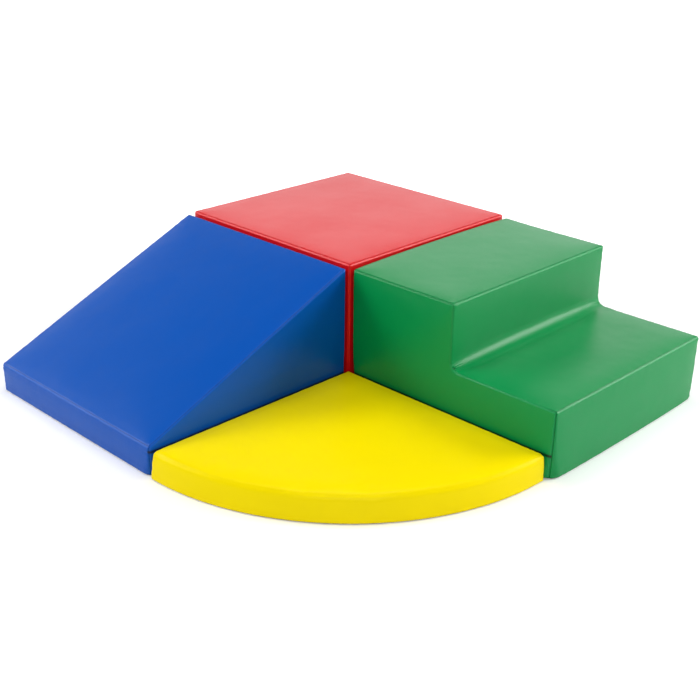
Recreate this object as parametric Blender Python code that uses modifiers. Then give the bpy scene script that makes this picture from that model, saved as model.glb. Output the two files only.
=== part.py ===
# Soft play corner climber: a square corner block, a ramp and a two-step block standing against two of
# its faces, and a quarter-round mat in the angle between them. Each is a foam core in a sewn vinyl
# cover with a zip, and hook and loop strips hold the four together.
# Metres, +Z up. The origin is on the floor, under the middle of the whole set.
import math
from dataclasses import dataclass

import bmesh
import bpy
from mathutils import Matrix, Vector

# Blocks: nominal sizes, measured between flat faces carried on to sharp edges
block_side = 0.533
corner_height = 0.303
ramp_width = 0.539
ramp_height = 0.298
lip_height = 0.065
steps_run = 0.541
steps_height = 0.295
step_height = 0.151
upper_tread_depth = 0.279
mat_radius = 0.534
mat_thickness = 0.059

# Edges: the cover rolls over every rim, and outline corners are a little rounder than the rims
roll_radius = 0.008
corner_ease = 0.0005
fold_radius = 0.020
mat_top_roll = 0.012
mat_corner_ease = 0.002
skin_arc_steps = 4
core_arc_steps = 2
mat_arc_steps = 16

# Swell of each face over its flat, and the rings that shape it. A face that carries a strip over to
# another block has a flat middle
top_rise = 0.005
slope_rise = 0.004
tread_rise = 0.0025
face_rise = 0.002
mat_rise = 0.003
mating_rise = 0.0031
cushion_shares = (0.94, 0.78, 0.50)
plateau_shares = (0.94, 0.87, 0.80)

# Cover and foam
cover_thickness = 0.001
seam_gap = 0.0009
contact_gap = 0.0003
running_gap = 0.0003

# Hook and loop strips
strip_thickness = 0.0016
strip_width = 0.050
strip_height = 0.200
strip_end_margin = 0.065
strip_corner_radius = 0.004
mat_strip_width = 0.016
mat_strip_height = 0.036
mat_strip_end_margin = 0.080

# Zips
zip_height = 0.034
zip_end_margin = 0.045
mat_zip_height = 0.017
mat_zip_end_margin = 0.065
tape_width = 0.014
tape_thickness = 0.0005
tape_sink = 0.00025
tape_end_radius = 0.003
chain_thickness = 0.0014
chain_row_width = 0.0022
end_stop_length = 0.004
slider_length = 0.010
slider_roof = 0.0008
slider_floor = 0.0006
slider_floor_width = 0.0050
slider_wall = 0.0006
web_thickness = 0.0004
lug_width = 0.0022
lug_tunnel = 0.0020
lug_wall = 0.0008
pull_length = 0.024
pull_width = 0.0052
pull_thickness = 0.0010
pull_arm_width = 0.0011
pull_window_length = 0.0026
pull_end_radius = 0.0022
pull_bar_radius = 0.0002
cut_overrun = 0.002
weld_distance = 0.000005

# Sizes that follow from those above
mat_gap = 2 * strip_thickness + 3 * contact_gap
block_gap = mat_gap + 2 * mating_rise
mat_strip_middle = mat_radius / 2 + mat_gap - block_gap
corner_radius = roll_radius + corner_ease
mat_corner_radius = mat_top_roll + mat_corner_ease
core_inset = cover_thickness + contact_gap
row_gap = web_thickness + 2 * running_gap
chain_width = 2 * chain_row_width + row_gap
tape_top = -tape_sink
tape_bottom = tape_top - tape_thickness
chain_bottom = tape_top + contact_gap
chain_top = chain_bottom + chain_thickness
roof_bottom = chain_top + running_gap
roof_top = roof_bottom + slider_roof
floor_top = tape_bottom - running_gap
floor_bottom = floor_top - slider_floor
pull_axis = roof_top + lug_tunnel / 2
lug_top = roof_top + lug_tunnel + lug_wall
zip_start_clearance = end_stop_length + running_gap

# Directions
east, north, up = Vector((1, 0, 0)), Vector((0, 1, 0)), Vector((0, 0, 1))
quarter_turn = math.radians(90)
half_turn = math.radians(180)

# Finishes: base colour, roughness, metallic
red_vinyl = ((0.62, 0.010, 0.016), 0.38, 0.0)
blue_vinyl = ((0.010, 0.105, 0.50), 0.38, 0.0)
green_vinyl = ((0.010, 0.32, 0.12), 0.38, 0.0)
yellow_vinyl = ((0.93, 0.78, 0.005), 0.40, 0.0)
base_cloth = ((0.025, 0.025, 0.028), 0.85, 0.0)
pale_foam = ((0.85, 0.84, 0.80), 0.90, 0.0)
hook_tape = ((0.030, 0.030, 0.032), 0.80, 0.0)
loop_tape = ((0.045, 0.045, 0.048), 0.95, 0.0)
zip_cloth = ((0.020, 0.020, 0.022), 0.85, 0.0)
nylon = ((0.030, 0.030, 0.033), 0.45, 0.0)
nickel = ((0.62, 0.61, 0.58), 0.28, 1.0)

for leftover in list(bpy.data.objects):
    bpy.data.objects.remove(leftover)

parts = bpy.data.collections.new("corner_climber")
cutters = bpy.data.collections.new("cutters")
bpy.context.scene.collection.children.link(parts)
bpy.context.scene.collection.children.link(cutters)


@dataclass
class Arc:
    """One bend of an outline. A bulging bend shrinks as the outline moves in, and a hollow one grows."""

    centre: Vector
    start: Vector
    end: Vector
    radius: float
    bulges: bool
    steps_share: float


@dataclass
class Block:
    """A foam shape: an outline drawn up by its depth, with two rolled rims and some swollen faces."""

    arcs: list
    depth: float
    low_roll: float
    high_roll: float
    swells: list


def frame(name, parent, location, rotation=(0, 0, 0)):
    """An empty that carries the pieces of one block or one zip."""
    holder = bpy.data.objects.new(name, None)
    parts.objects.link(holder)
    holder.parent = parent
    holder.location = location
    holder.rotation_euler = rotation
    return holder


def add_piece(name, mesh, parent, finish, location=(0, 0, 0), rotation=(0, 0, 0)):
    """A named piece with a material of its own."""
    piece = bpy.data.objects.new(name, mesh)
    parts.objects.link(piece)
    piece.parent = parent
    piece.location = location
    piece.rotation_euler = rotation
    colour, roughness, metallic = finish
    material = bpy.data.materials.new(name)
    material.use_nodes = True
    shader = material.node_tree.nodes["Principled BSDF"]
    shader.inputs["Base Color"].default_value = (*colour, 1)
    shader.inputs["Roughness"].default_value = roughness
    shader.inputs["Metallic"].default_value = metallic
    mesh.materials.clear()
    mesh.materials.append(material)
    return piece


def add_cutter(name, mesh, parent, location):
    """A helper solid that only cuts."""
    cutter = bpy.data.objects.new(name, mesh)
    cutters.objects.link(cutter)
    cutter.parent = parent
    cutter.location = location
    cutter.hide_render = True
    cutter.display_type = "WIRE"
    return cutter


def boolean(piece, other, operation):
    """A live Boolean of one piece with another solid."""
    modifier = piece.modifiers.new(operation.lower(), "BOOLEAN")
    modifier.operation = operation
    modifier.object = other


def corner_arcs(corners, radii):
    """The bends that round the corners of a polygon drawn anticlockwise."""
    arcs = []
    for i, corner in enumerate(corners):
        back = (corners[i - 1] - corner).normalized()
        ahead = (corners[(i + 1) % len(corners)] - corner).normalized()
        half_angle = back.angle(ahead) / 2
        centre = corner + (back + ahead).normalized() * radii[i] / math.sin(half_angle)
        reach = radii[i] / math.tan(half_angle)
        start = (corner + back * reach - centre).normalized()
        end = (corner + ahead * reach - centre).normalized()
        arcs.append(Arc(centre, start, end, radii[i], ahead.cross(back) > 0, 1))
    return arcs


def outline_points(arcs, inset, arc_steps):
    """The points of an outline moved in by inset, with straight runs between its bends."""
    points = []
    for arc in arcs:
        radius = arc.radius - inset if arc.bulges else arc.radius + inset
        steps = round(arc_steps * arc.steps_share)
        for step in range(steps + 1):
            point = arc.centre + arc.start.slerp(arc.end, step / steps) * radius
            if not points or (point - points[-1]).length > weld_distance:
                points.append(point)
    return points


def rectangle(width, height, radius):
    """The bends of a rectangle about the origin, with one radius at its corners."""
    half = Vector((width / 2, height / 2))
    corners = [Vector((x * half.x, y * half.y)) for x, y in ((-1, -1), (1, -1), (1, 1), (-1, 1))]
    return corner_arcs(corners, [radius] * len(corners))


def swell(body, point, rise, shares):
    """Raises the flat face nearest to a point into a shallow cushion of rings."""
    face = min(body.faces, key=lambda each: (each.calc_center_median() - point).length)
    normal = face.normal.copy()
    centre = face.calc_center_median()
    rim = [vert.co.copy() for vert in face.verts]
    for share in shares:
        height = rise * (1 - share**2) / (1 - shares[-1] ** 2)
        face = bmesh.ops.extrude_discrete_faces(body, faces=[face])["faces"][0]
        for vert, start in zip(face.verts, rim):
            vert.co = centre + (start - centre) * share + normal * height


def block_body(block, inset, arc_steps):
    """A closed bmesh of a block, moved in on all sides by inset."""
    body = bmesh.new()
    outline = outline_points(block.arcs, inset, arc_steps)
    base = body.faces.new([body.verts.new((*point, inset)) for point in outline])
    drawn = bmesh.ops.extrude_face_region(body, geom=[base])["geom"]
    ends = [item for item in drawn if isinstance(item, bmesh.types.BMVert)]
    bmesh.ops.translate(body, verts=ends, vec=up * (block.depth - 2 * inset))
    bmesh.ops.recalc_face_normals(body, faces=body.faces)
    middle = block.depth / 2
    for low, roll in ((True, block.low_roll), (False, block.high_roll)):
        rim = [
            edge
            for edge in body.edges
            if all((vert.co.z < middle) == low for vert in edge.verts)
        ]
        bmesh.ops.bevel(
            body,
            geom=rim,
            offset=roll - inset,
            offset_type="OFFSET",
            segments=arc_steps,
            profile=0.5,
            affect="EDGES",
        )
    for point, rise, shares in block.swells:
        swell(body, point, rise, shares)
    bmesh.ops.recalc_face_normals(body, faces=body.faces)
    return body


def mesh_from(name, body):
    """A mesh that takes over a bmesh."""
    mesh = bpy.data.meshes.new(name)
    body.to_mesh(mesh)
    body.free()
    return mesh


def add_core(name, block, parent):
    """The foam inside a cover."""
    mesh = mesh_from(name, block_body(block, core_inset, core_arc_steps))
    mesh.shade_smooth()
    mesh.set_sharp_from_angle(angle=quarter_turn / 2)
    return add_piece(name, mesh, parent, pale_foam)


def draw_back(panel, distance):
    """Moves the open border of a panel inwards along its own surface."""
    moves = {}
    for vert in panel.verts:
        inward = []
        for edge in vert.link_edges:
            if not edge.is_boundary:
                continue
            face = edge.link_faces[0]
            along = edge.verts[1].co - edge.verts[0].co
            across = face.normal.cross(along).normalized()
            side = across.dot(face.calc_center_median() - vert.co)
            inward.append(across if side > 0 else -across)
        if inward:
            first, second = inward
            moves[vert] = (first + second) * distance / (1 + first.dot(second))
    for vert, move in moves.items():
        vert.co += move


def add_panels(block, panel_of, finishes, parent):
    """The cover of a block: its skin split at the seams, each panel with its own thickness."""
    panels = {}
    skin = block_body(block, 0, skin_arc_steps)
    for name, finish in finishes.items():
        panel = skin.copy()
        spare = [face for face in panel.faces if panel_of(face) != name]
        bmesh.ops.delete(panel, geom=spare, context="FACES")
        draw_back(panel, seam_gap / 2)
        mesh = mesh_from(name, panel)
        mesh.shade_smooth()
        panels[name] = add_piece(name, mesh, parent, finish)
        wall = panels[name].modifiers.new("wall", "SOLIDIFY")
        wall.thickness = cover_thickness
        wall.offset = -1
        wall.use_even_offset = True
    skin.free()
    return panels


def closest(directions, face):
    """The name of the direction that a face looks in most."""
    return max(directions, key=lambda name: directions[name].dot(face.normal))


def plate_mesh(name, outlines, thickness, turn=Matrix()):
    """A flat plate about its own middle plane: its first outline, with any others as holes."""
    curve = bpy.data.curves.new(name, "CURVE")
    curve.dimensions = "2D"
    curve.fill_mode = "BOTH"
    curve.extrude = thickness / 2
    for outline in outlines:
        spline = curve.splines.new("POLY")
        spline.points.add(len(outline) - 1)
        spline.use_cyclic_u = True
        for point, place in zip(spline.points, outline):
            point.co = (*place, 0, 1)
    holder = bpy.data.objects.new(name, curve)
    parts.objects.link(holder)
    graph = bpy.context.evaluated_depsgraph_get()
    mesh = bpy.data.meshes.new_from_object(holder.evaluated_get(graph))
    bpy.data.objects.remove(holder)
    bpy.data.curves.remove(curve)
    body = bmesh.new()
    body.from_mesh(mesh)
    bmesh.ops.remove_doubles(body, verts=body.verts, dist=weld_distance)
    bmesh.ops.transform(body, matrix=turn, verts=body.verts)
    body.to_mesh(mesh)
    body.free()
    mesh.name = name
    return mesh


def plain_plate(name, width, height, radius, thickness):
    """A plate with round corners and no hole."""
    return plate_mesh(name, [outline_points(rectangle(width, height, radius), 0, 2)], thickness)


def add_strip(name, parent, finish, place, rotation, length, width):
    """A hook or loop strip lying on a cover, with its local +Z pointing away from the cover."""
    mesh = plain_plate(name, length, width, strip_corner_radius, strip_thickness)
    lift = up * (contact_gap + strip_thickness / 2)
    piece = add_piece(name, mesh, parent, finish, place, rotation)
    piece.location += piece.rotation_euler.to_matrix() @ lift
    return piece


def slotted(name, length, width, end_length, end_radius, thickness):
    """A long plate with a slit down its middle that stops short of both ends."""
    rim = outline_points(rectangle(length, width, end_radius), 0, 2)
    slit_length = length - 2 * end_length
    slit = outline_points(rectangle(slit_length, row_gap, row_gap / 4), 0, 1)
    return plate_mesh(name, [rim, slit], thickness)


def slider_mesh(name, lug):
    """A zip slider: a roof over the chain, a floor under the tape and a thin web between the rows."""
    roof_half = chain_width / 2 + running_gap + slider_wall
    room_half = chain_width / 2 + running_gap
    floor_half = slider_floor_width / 2
    web_half = web_thickness / 2
    right_side = [
        (floor_half, floor_bottom),
        (floor_half, floor_top),
        (web_half, floor_top),
        (web_half, roof_bottom),
        (room_half, roof_bottom),
        (room_half, chain_bottom),
        (roof_half, chain_bottom),
        (roof_half, roof_top),
    ]
    left_side = [(-across, height) for across, height in reversed(right_side)]
    stand = Matrix.Rotation(quarter_turn, 4, "Z") @ Matrix.Rotation(quarter_turn, 4, "X")
    mesh = plate_mesh(name, [right_side + left_side], slider_length, stand)
    if lug is None:
        return mesh
    body = bpy.data.objects.new(name, mesh)
    cutters.objects.link(body)
    boolean(body, lug, "UNION")
    graph = bpy.context.evaluated_depsgraph_get()
    joined = bpy.data.meshes.new_from_object(body.evaluated_get(graph))
    bpy.data.objects.remove(body)
    return joined


def lug_cutter(name):
    """The arch on top of a slider that holds its pull tab."""
    inner = lug_tunnel / 2
    outer = inner + lug_wall
    foot = roof_top - slider_roof / 2
    tunnel_top = roof_top + lug_tunnel
    arch = [
        (-outer, foot),
        (-inner, foot),
        (-inner, tunnel_top),
        (inner, tunnel_top),
        (inner, foot),
        (outer, foot),
        (outer, lug_top),
        (-outer, lug_top),
    ]
    mesh = plate_mesh(name, [arch], lug_width, Matrix.Rotation(quarter_turn, 4, "X"))
    return add_cutter(name, mesh, None, (0, 0, 0))


def pull_mesh(name):
    """A pull tab about its own bar: the bar, a window that clears the arch, and the tab."""
    bar_half = pull_thickness / 2
    window_half = pull_width / 2 - pull_arm_width
    window_end = bar_half + pull_window_length
    tab_end = pull_length - bar_half
    corners = [
        Vector((-bar_half, -pull_width / 2)),
        Vector((tab_end, -pull_width / 2)),
        Vector((tab_end, pull_width / 2)),
        Vector((-bar_half, pull_width / 2)),
    ]
    radii = [pull_bar_radius, pull_end_radius, pull_end_radius, pull_bar_radius]
    rim = outline_points(corner_arcs(corners, radii), 0, 4)
    window = [
        (bar_half, -window_half),
        (window_end, -window_half),
        (window_end, window_half),
        (bar_half, window_half),
    ]
    return plate_mesh(name, [rim, window], pull_thickness)


def add_zip(prefix, zip_frame, length, panel, core, has_pull):
    """A zip let into a cover panel: its local X runs along the chain and its local Z points outwards."""
    slot = plain_plate(
        prefix + "_slot",
        length + 2 * contact_gap,
        tape_width + 2 * contact_gap,
        tape_end_radius + contact_gap,
        2 * (cover_thickness + cut_overrun),
    )
    boolean(panel, add_cutter(prefix + "_slot", slot, zip_frame, (0, 0, 0)), "DIFFERENCE")
    groove_floor = floor_bottom - running_gap
    groove = plain_plate(
        prefix + "_groove",
        length,
        slider_floor_width + 2 * running_gap,
        tape_end_radius / 2,
        cut_overrun - groove_floor,
    )
    groove_middle = (0, 0, (cut_overrun + groove_floor) / 2)
    boolean(core, add_cutter(prefix + "_groove", groove, zip_frame, groove_middle), "DIFFERENCE")

    tape = slotted(
        prefix + "_zip_tape", length, tape_width, end_stop_length, tape_end_radius, tape_thickness
    )
    tape_middle = (0, 0, (tape_top + tape_bottom) / 2)
    add_piece(prefix + "_zip_tape", tape, zip_frame, zip_cloth, tape_middle)
    chain_length = length - 2 * tape_end_radius
    chain = slotted(
        prefix + "_zip_chain",
        chain_length,
        chain_width,
        end_stop_length,
        chain_row_width / 4,
        chain_thickness,
    )
    chain_middle = (0, 0, (chain_top + chain_bottom) / 2)
    add_piece(prefix + "_zip_chain", chain, zip_frame, nylon, chain_middle)

    start = slider_length / 2 + zip_start_clearance + tape_end_radius - length / 2
    lug = lug_cutter(prefix + "_lug") if has_pull else None
    slider = slider_mesh(prefix + "_zip_slider", lug)
    add_piece(prefix + "_zip_slider", slider, zip_frame, nickel, (start, 0, 0))
    if has_pull:
        pull = pull_mesh(prefix + "_zip_pull")
        add_piece(prefix + "_zip_pull", pull, zip_frame, nickel, (start, 0, pull_axis))


# Places of the four blocks
east_shift = (block_gap + face_rise - lug_top) / 2
north_shift = (block_gap + steps_run + face_rise - ramp_width - lug_top) / 2
climber = frame("climber", None, (east_shift, north_shift, 0))
corner_frame = frame("corner_block", climber, (0, 0, 0))
ramp_frame = frame("ramp", climber, (-block_gap, 0, 0), (quarter_turn, 0, half_turn))
steps_frame = frame("steps", climber, (block_side, -block_gap, 0), (quarter_turn, 0, -quarter_turn))
mat_frame = frame("mat", climber, (-mat_gap, -mat_gap, 0))
half_side = block_side / 2
block_zip_length = block_side - 2 * zip_end_margin
block_strip_length = block_side - 2 * strip_end_margin
mat_strip_length = mat_radius - 2 * mat_strip_end_margin

# Corner block: its outline is the plan, drawn up to the height
corner_plan = [Vector((x * block_side, y * block_side)) for x, y in ((0, 0), (1, 0), (1, 1), (0, 1))]
corner_shape = Block(
    arcs=corner_arcs(corner_plan, [corner_radius] * 4),
    depth=corner_height,
    low_roll=roll_radius,
    high_roll=roll_radius,
    swells=[
        (Vector((half_side, half_side, corner_height)), top_rise, cushion_shares),
        (Vector((block_side, half_side, corner_height / 2)), face_rise, cushion_shares),
        (Vector((0, half_side, corner_height / 2)), mating_rise, plateau_shares),
        (Vector((half_side, 0, corner_height / 2)), mating_rise, plateau_shares),
    ],
)
corner_directions = {
    "corner_top_panel": up,
    "corner_bottom_panel": -up,
    "corner_panel_to_ramp": -east,
    "corner_panel_to_steps": -north,
    "corner_back_panel": north,
    "corner_end_panel": east,
}
corner_finishes = {name: red_vinyl for name in corner_directions}
corner_finishes["corner_bottom_panel"] = base_cloth
corner_core = add_core("corner_foam_core", corner_shape, corner_frame)
corner_panels = add_panels(
    corner_shape, lambda face: closest(corner_directions, face), corner_finishes, corner_frame
)
add_strip(
    "corner_hook_strip_to_ramp",
    corner_frame,
    hook_tape,
    (-mating_rise, half_side, strip_height),
    (quarter_turn, 0, -quarter_turn),
    block_strip_length,
    strip_width,
)
add_strip(
    "corner_hook_strip_to_steps",
    corner_frame,
    hook_tape,
    (half_side, -mating_rise, strip_height),
    (quarter_turn, 0, 0),
    block_strip_length,
    strip_width,
)
corner_zip = frame(
    "corner_zip", corner_frame, (half_side, block_side, zip_height), (quarter_turn, 0, half_turn)
)
add_zip(
    "corner", corner_zip, block_zip_length, corner_panels["corner_back_panel"], corner_core, True
)

# Ramp: its outline is the side view, with the lip at +X, drawn out to the width
ramp_side_view = [
    Vector((0, 0)),
    Vector((block_side, 0)),
    Vector((block_side, lip_height)),
    Vector((0, ramp_height)),
]
slope_drop = ramp_height - lip_height
slope_normal = Vector((slope_drop, block_side, 0)).normalized()
slope_middle = (ramp_height + lip_height) / 2
ramp_shape = Block(
    arcs=corner_arcs(ramp_side_view, [corner_radius] * 4),
    depth=ramp_width,
    low_roll=roll_radius,
    high_roll=roll_radius,
    swells=[
        (Vector((half_side, slope_middle, ramp_width / 2)), slope_rise, cushion_shares),
        (Vector((block_side, lip_height / 2, ramp_width / 2)), face_rise, cushion_shares),
        (Vector((0, ramp_height / 2, ramp_width / 2)), mating_rise, plateau_shares),
    ],
)
ramp_directions = {
    "ramp_slope_panel": slope_normal,
    "ramp_lip_panel": east,
    "ramp_mat_side_panel": -up,
    "ramp_outer_side_panel": up,
    "ramp_back_panel": -east,
    "ramp_bottom_panel": -north,
}
ramp_finishes = {name: blue_vinyl for name in ramp_directions}
ramp_finishes["ramp_bottom_panel"] = base_cloth
ramp_core = add_core("ramp_foam_core", ramp_shape, ramp_frame)
ramp_panels = add_panels(
    ramp_shape, lambda face: closest(ramp_directions, face), ramp_finishes, ramp_frame
)
add_strip(
    "ramp_loop_strip_to_corner",
    ramp_frame,
    loop_tape,
    (-mating_rise, strip_height, half_side),
    (0, -quarter_turn, 0),
    block_strip_length,
    strip_width,
)
add_strip(
    "ramp_hook_strip_to_mat",
    ramp_frame,
    hook_tape,
    (mat_strip_middle, mat_strip_height, 0),
    (0, half_turn, 0),
    mat_strip_length,
    mat_strip_width,
)
ramp_zip = frame("ramp_zip", ramp_frame, (half_side, zip_height, ramp_width))
add_zip("ramp", ramp_zip, block_zip_length, ramp_panels["ramp_outer_side_panel"], ramp_core, True)

# Steps: their outline is the side view, with the lower step at +X, drawn out to the width
steps_side_view = [
    Vector((0, 0)),
    Vector((steps_run, 0)),
    Vector((steps_run, step_height)),
    Vector((upper_tread_depth, step_height)),
    Vector((upper_tread_depth, steps_height)),
    Vector((0, steps_height)),
]
steps_radii = [corner_radius] * 3 + [fold_radius] + [corner_radius] * 2
riser_middle = (step_height + steps_height) / 2
tread_middle = (upper_tread_depth + steps_run) / 2
top_swell = (Vector((upper_tread_depth / 2, steps_height, half_side)), top_rise, cushion_shares)
riser_swell = (Vector((upper_tread_depth, riser_middle, half_side)), face_rise, cushion_shares)
front_swell = (Vector((steps_run, step_height / 2, half_side)), face_rise, cushion_shares)
tread_swell = (Vector((tread_middle, step_height, half_side)), tread_rise, cushion_shares)
back_swell = (Vector((0, steps_height / 2, half_side)), mating_rise, plateau_shares)
steps_shape = Block(
    arcs=corner_arcs(steps_side_view, steps_radii),
    depth=block_side,
    low_roll=roll_radius,
    high_roll=roll_radius,
    swells=[top_swell, riser_swell, tread_swell, front_swell, back_swell],
)
steps_directions = {
    "up": north,
    "front": east,
    "steps_mat_side_panel": up,
    "steps_outer_side_panel": -up,
    "steps_back_panel": -east,
    "steps_bottom_panel": -north,
}
steps_finishes = {
    "steps_top_panel": green_vinyl,
    "steps_riser_and_tread_panel": green_vinyl,
    "steps_front_panel": green_vinyl,
    "steps_mat_side_panel": green_vinyl,
    "steps_outer_side_panel": green_vinyl,
    "steps_back_panel": green_vinyl,
    "steps_bottom_panel": base_cloth,
}


def steps_panel_of(face):
    """One panel covers the riser, the fold and the lower tread, so height tells it from its neighbours."""
    name = closest(steps_directions, face)
    level = face.calc_center_median().y
    if name == "up":
        return "steps_top_panel" if level > riser_middle else "steps_riser_and_tread_panel"
    if name == "front":
        return "steps_riser_and_tread_panel" if level > step_height else "steps_front_panel"
    return name


slab_side_view = [
    Vector((0, 0)),
    Vector((steps_run, 0)),
    Vector((steps_run, step_height)),
    Vector((0, step_height)),
]
glue_plane = step_height - 2 * core_inset + contact_gap
upper_side_view = [
    Vector((0, glue_plane)),
    Vector((upper_tread_depth, glue_plane)),
    Vector((upper_tread_depth, steps_height)),
    Vector((0, steps_height)),
]
slab_shape = Block(
    arcs=corner_arcs(slab_side_view, [corner_radius] * 4),
    depth=block_side,
    low_roll=roll_radius,
    high_roll=roll_radius,
    swells=[front_swell],
)
upper_shape = Block(
    arcs=corner_arcs(upper_side_view, [corner_radius] * 4),
    depth=block_side,
    low_roll=roll_radius,
    high_roll=roll_radius,
    swells=[top_swell],
)
steps_slab = add_core("steps_lower_foam_slab", slab_shape, steps_frame)
add_core("steps_upper_foam_block", upper_shape, steps_frame)
steps_panels = add_panels(steps_shape, steps_panel_of, steps_finishes, steps_frame)
add_strip(
    "steps_loop_strip_to_corner",
    steps_frame,
    loop_tape,
    (-mating_rise, strip_height, half_side),
    (0, -quarter_turn, 0),
    block_strip_length,
    strip_width,
)
add_strip(
    "steps_hook_strip_to_mat",
    steps_frame,
    hook_tape,
    (mat_strip_middle, mat_strip_height, block_side),
    (0, 0, 0),
    mat_strip_length,
    mat_strip_width,
)
steps_zip = frame("steps_zip", steps_frame, (steps_run / 2, zip_height, 0), (0, half_turn, 0))
add_zip(
    "steps", steps_zip, block_zip_length, steps_panels["steps_outer_side_panel"], steps_slab, True
)


def mat_arcs():
    """The bends of the quarter disc, whose two straight sides meet at the origin."""
    bend = mat_corner_radius
    reach = math.sqrt((mat_radius - bend) ** 2 - bend**2)
    apex = Arc(Vector((-bend, -bend)), east.xy, north.xy, bend, True, 1)
    ramp_centre = Vector((-reach, -bend))
    steps_centre = Vector((-bend, -reach))
    ramp_outward = ramp_centre.normalized()
    steps_outward = steps_centre.normalized()
    return [
        apex,
        Arc(ramp_centre, north.xy, ramp_outward, bend, True, 1),
        Arc(Vector((0, 0)), ramp_outward, steps_outward, mat_radius, True, mat_arc_steps / skin_arc_steps),
        Arc(steps_centre, steps_outward, east.xy, bend, True, 1),
    ]


# Mat: its outline is the plan, drawn up to the thickness
mat_shape = Block(
    arcs=mat_arcs(),
    depth=mat_thickness,
    low_roll=roll_radius,
    high_roll=mat_top_roll,
    swells=[(Vector((-mat_radius / 2, -mat_radius / 2, mat_thickness)), mat_rise, cushion_shares)],
)
mat_finishes = {
    "mat_top_panel": yellow_vinyl,
    "mat_bottom_panel": base_cloth,
    "mat_band_to_ramp": yellow_vinyl,
    "mat_band_to_steps": yellow_vinyl,
    "mat_curved_band": yellow_vinyl,
}


def mat_panel_of(face):
    """The curved band looks away from the mat's apex all along its length."""
    outward = face.calc_center_median()
    outward.z = 0
    directions = {
        "mat_top_panel": up,
        "mat_bottom_panel": -up,
        "mat_band_to_ramp": north,
        "mat_band_to_steps": east,
        "mat_curved_band": outward.normalized(),
    }
    return closest(directions, face)


mat_core = add_core("mat_foam_core", mat_shape, mat_frame)
mat_panels = add_panels(mat_shape, mat_panel_of, mat_finishes, mat_frame)
add_strip(
    "mat_loop_strip_to_ramp",
    mat_frame,
    loop_tape,
    (-mat_radius / 2, 0, mat_strip_height),
    (-quarter_turn, 0, 0),
    mat_strip_length,
    mat_strip_width,
)
add_strip(
    "mat_loop_strip_to_steps",
    mat_frame,
    loop_tape,
    (0, -mat_radius / 2, mat_strip_height),
    (quarter_turn, 0, quarter_turn),
    mat_strip_length,
    mat_strip_width,
)
mat_zip = frame(
    "mat_zip", mat_frame, (0, -mat_radius / 2, mat_zip_height), (quarter_turn, 0, quarter_turn)
)
mat_zip_length = mat_radius - 2 * mat_zip_end_margin
add_zip("mat", mat_zip, mat_zip_length, mat_panels["mat_band_to_steps"], mat_core, False)
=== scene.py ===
import math
from dataclasses import dataclass
from typing import Callable

import bpy
import numpy as np
from mathutils import Matrix, Vector, noise
from mathutils.bvhtree import BVHTree
from mathutils.interpolate import poly_3d_calc


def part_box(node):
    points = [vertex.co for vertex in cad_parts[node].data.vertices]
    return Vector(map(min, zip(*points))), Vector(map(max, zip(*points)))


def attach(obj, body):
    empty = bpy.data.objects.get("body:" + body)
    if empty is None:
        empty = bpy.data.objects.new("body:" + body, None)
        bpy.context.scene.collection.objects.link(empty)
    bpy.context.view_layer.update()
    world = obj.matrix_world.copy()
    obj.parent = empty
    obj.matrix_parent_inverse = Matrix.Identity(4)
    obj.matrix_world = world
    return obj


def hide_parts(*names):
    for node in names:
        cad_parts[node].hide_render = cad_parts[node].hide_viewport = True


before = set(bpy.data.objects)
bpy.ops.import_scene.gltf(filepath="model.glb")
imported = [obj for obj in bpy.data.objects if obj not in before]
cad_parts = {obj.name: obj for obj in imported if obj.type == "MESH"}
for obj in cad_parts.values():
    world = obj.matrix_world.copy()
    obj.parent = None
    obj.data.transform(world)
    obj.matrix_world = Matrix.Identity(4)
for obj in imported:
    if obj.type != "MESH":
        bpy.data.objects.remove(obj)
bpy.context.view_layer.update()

# Corner block cover
# A square block of foam in a sewn cover of red vinyl. The panels are sewn inside out and
# turned, so at every edge two faces roll down into a narrow seam.
block_side = 0.533
corner_height = 0.303
corner_low = np.array((0.003475, 0.004475, 0))
corner_high = np.array((block_side, block_side, corner_height))
mating_rise = 0.0031
wall_give = 0.0030
corner_top_give = 0.0062
corner_foot_pull = 0.015
corner_bow_out = 0.003
seam_rings = [0, 0.0008, 0.0016, 0.0023, 0.0028, 0.0032, 0.0036, 0.0041, 0.0049, 0.0062, 0.0085, 0.012, 0.017]
ring_share = 0.4
seam_inset = 0.0032
skin_pitch = 0.0062
curve_cuts = 32
edge_roll = 0.0045
pull_top = 0.003
pull_height = 0.050
bow_depth = 0.05
bow_taper = 0.7
arch_fullness = 0.6
groove_depth = 0.0006
groove_width = 0.0006
pillow_reach = 0.013
pillow_share = 0.35
pucker_depth = 0.00055
pucker_reach = 0.009
pucker_start = 0.0025
pucker_pitch = 0.0085
corner_pucker = 2.0
corner_pucker_reach = 0.03
wave_depth = 0.00034
wave_pitch = 0.085
ripple_depth = 0.00012
ripple_pitch = 0.028
wave_start = 0.02
held_give = 0.0015
noise_gain = 1.6
noise_steps = (7.3, 3.1, 5.7)
even_swell = 0.006
even_reach = 0.06
cloth_pitch = 0.0118
cloth_frames = 20
cloth_settings = {
    "quality": 5,
    "mass": 0.3,
    "tension_stiffness": 40,
    "compression_stiffness": 40,
    "shear_stiffness": 10,
    "bending_stiffness": 3,
    "use_pressure": True,
    "uniform_pressure_force": 1.0,
    "vertex_group_mass": "hold",
    "pin_stiffness": 1,
}
face_hold = 0.05
seam_hold_reach = 0.004
zip_height = 0.034
zip_length = 0.443
slot_half = 0.0073
slot_margin = 0.0003
slot_depth = 0.0022
slot_rings = [0, 0.0005, 0.0014, 0.0032]
slot_lip = 0.0004
slot_lip_reach = 0.0016
calm_share = 0.95
calm_height = 0.03
calm_past = 0.02
mat_side_height = 0.062
mat_side_reach = 0.05
base_thickness = 0.0008
base_clearance = 0.0003
base_margin = 0.0005
tiny = 1e-9
diagonal = 0.7071


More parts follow.
